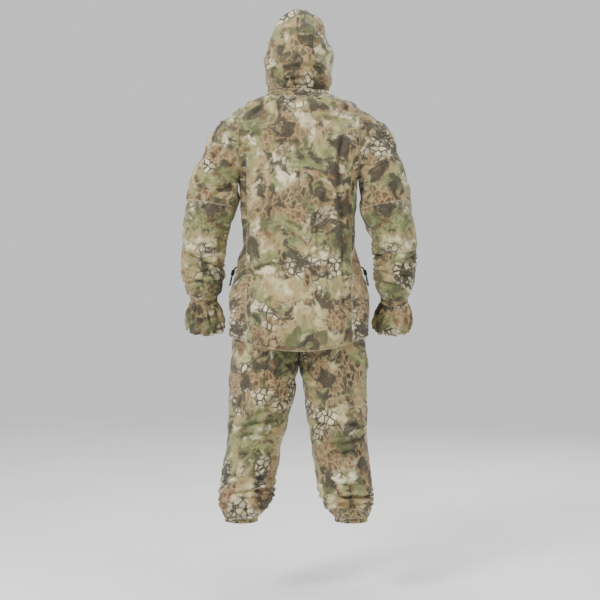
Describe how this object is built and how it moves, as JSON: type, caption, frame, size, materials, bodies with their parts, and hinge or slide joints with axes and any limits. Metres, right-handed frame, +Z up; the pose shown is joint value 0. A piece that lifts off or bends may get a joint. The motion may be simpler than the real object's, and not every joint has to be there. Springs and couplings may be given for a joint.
{
  "type": "camouflage over-suit",
  "caption": "Hooded camouflage over-suit: zip jacket with sleeves, flared cuffs and flap pockets, over elasticated trousers.",
  "frame": {"origin": "centre of the neckline, where the jacket hangs on the wearer's neck and shoulders", "axes": "+Z up along the wearer's body, the wearer faces -Y, +X is the wearer's left"},
  "size_m": [0.734, 0.3496, 1.597],
  "materials": {
    "camouflage": "printed twill",
    "lining": "plain woven tape",
    "elastic": "gathered over elastic",
    "zip_tape": "woven tape",
    "zip_plastic": "moulded",
    "button": "satin",
    "cord": "braided cord",
    "cord_lock": "moulded",
    "eyelet": "matt olive lacquer"
  },
  "bodies": {
    "garment": {"jacket_back": "camouflage", "jacket_front_left": "camouflage", "jacket_front_right": "camouflage", "waist_tunnel": "lining", "chest_pocket_left": "camouflage", "chest_pocket_right": "camouflage", "hip_pocket_left": "camouflage", "hip_pocket_right": "camouflage", "zip_tape_left": "zip_tape", "zip_tape_right": "zip_tape", "zip_chain_left": "zip_plastic", "zip_chain_right": "zip_plastic", "waist_cord_left": "cord", "waist_cord_right": "cord", "trouser_hips_back": "camouflage", "trouser_hips_front": "camouflage", "waistband": "camouflage", "waistband_elastic": "elastic", "waistband_button": "button"},
    "hood": {"hood_neck": "camouflage", "hood_center": "camouflage", "hood_side_left": "camouflage", "hood_side_right": "camouflage", "hood_face_hem": "camouflage", "hood_eyelet_left": "eyelet", "hood_eyelet_right": "eyelet"},
    "zip_slider": {"zip_slider": "zip_plastic"},
    "zip_pull": {"zip_pull": "zip_plastic"},
    "upper_arm_left": {"upper_sleeve_left": "camouflage"},
    "forearm_left": {"lower_sleeve_left": "camouflage", "elbow_patch_left": "camouflage", "wrist_elastic_left": "elastic", "cuff_left": "camouflage"},
    "thigh_left": {"thigh_left": "camouflage"},
    "shin_left": {"shin_left": "camouflage", "knee_patch_left": "camouflage", "ankle_elastic_left": "elastic"},
    "chest_flap_left": {"chest_flap_left": "camouflage", "chest_button_left": "button"},
    "hip_flap_left": {"hip_flap_left": "camouflage", "hip_button_left": "button"},
    "waist_cord_lock_left": {"waist_cord_lock_left": "cord_lock"},
    "upper_arm_right": {"upper_sleeve_right": "camouflage"},
    "forearm_right": {"lower_sleeve_right": "camouflage", "elbow_patch_right": "camouflage", "wrist_elastic_right": "elastic", "cuff_right": "camouflage"},
    "thigh_right": {"thigh_right": "camouflage"},
    "shin_right": {"shin_right": "camouflage", "knee_patch_right": "camouflage", "ankle_elastic_right": "elastic"},
    "chest_flap_right": {"chest_flap_right": "camouflage", "chest_button_right": "button"},
    "hip_flap_right": {"hip_flap_right": "camouflage", "hip_button_right": "button"},
    "waist_cord_lock_right": {"waist_cord_lock_right": "cord_lock"}
  },
  "joints": [
    {"name": "hood_tilt", "type": "hinge", "parent": "garment", "child": "hood", "pos_m": [0, -0.008, 0.015], "axis": [-1, 0, 0], "range_deg": [0, 33]},
    {"name": "zip_slide", "type": "slide", "parent": "garment", "child": "zip_slider", "axis": [0, -0.0995, -0.995], "range_m": [0, 0.688]},
    {"name": "zip_pull_swing", "type": "hinge", "parent": "zip_slider", "child": "zip_pull", "pos_m": [0, -0.10435, -0.0695], "axis": [-1, 0, 0], "range_deg": [0, 150]},
    {"name": "shoulder_left_swing", "type": "hinge", "parent": "garment", "child": "upper_arm_left", "pos_m": [0.1835, 0.014, -0.155], "axis": [-1, 0, 0], "range_deg": [0, 60]},
    {"name": "elbow_left_bend", "type": "hinge", "parent": "upper_arm_left", "child": "forearm_left", "pos_m": [0.284, 0.016, -0.41], "axis": [-1, 0, 0], "range_deg": [0, 75]},
    {"name": "hip_left_swing", "type": "hinge", "parent": "garment", "child": "thigh_left", "pos_m": [0.102, 0.005, -0.65], "axis": [-1, 0, 0], "range_deg": [0, 8]},
    {"name": "knee_left_bend", "type": "hinge", "parent": "thigh_left", "child": "shin_left", "pos_m": [0.13, -0.003, -1.03], "axis": [1, 0, 0], "range_deg": [0, 60]},
    {"name": "chest_flap_left_lift", "type": "hinge", "parent": "garment", "child": "chest_flap_left", "pos_m": [0.10036, -0.11282, -0.218], "axis": [-0.9662, -0.2576, 0], "range_deg": [0, 100]},
    {"name": "hip_flap_left_lift", "type": "hinge", "parent": "garment", "child": "hip_flap_left", "pos_m": [0.12801, -0.12589, -0.571], "axis": [-0.8224, -0.569, 0], "range_deg": [0, 100]},
    {"name": "waist_cord_lock_left_slide", "type": "slide", "parent": "garment", "child": "waist_cord_lock_left", "axis": [0.2607, 0, -0.9654], "range_m": [0, 0.008]},
    {"name": "shoulder_right_swing", "type": "hinge", "parent": "garment", "child": "upper_arm_right", "pos_m": [-0.1835, 0.014, -0.155], "axis": [-1, 0, 0], "range_deg": [0, 60]},
    {"name": "elbow_right_bend", "type": "hinge", "parent": "upper_arm_right", "child": "forearm_right", "pos_m": [-0.284, 0.016, -0.41], "axis": [-1, 0, 0], "range_deg": [0, 75]},
    {"name": "hip_right_swing", "type": "hinge", "parent": "garment", "child": "thigh_right", "pos_m": [-0.102, 0.005, -0.65], "axis": [-1, 0, 0], "range_deg": [0, 8]},
    {"name": "knee_right_bend", "type": "hinge", "parent": "thigh_right", "child": "shin_right", "pos_m": [-0.13, -0.003, -1.03], "axis": [1, 0, 0], "range_deg": [0, 60]},
    {"name": "chest_flap_right_lift", "type": "hinge", "parent": "garment", "child": "chest_flap_right", "pos_m": [-0.10036, -0.11282, -0.218], "axis": [-0.9662, 0.2576, 0], "range_deg": [0, 100]},
    {"name": "hip_flap_right_lift", "type": "hinge", "parent": "garment", "child": "hip_flap_right", "pos_m": [-0.12801, -0.12589, -0.571], "axis": [-0.8224, 0.569, 0], "range_deg": [0, 100]},
    {"name": "waist_cord_lock_right_slide", "type": "slide", "parent": "garment", "child": "waist_cord_lock_right", "axis": [-0.2607, 0, -0.9654], "range_m": [0, 0.008]}
  ]
}
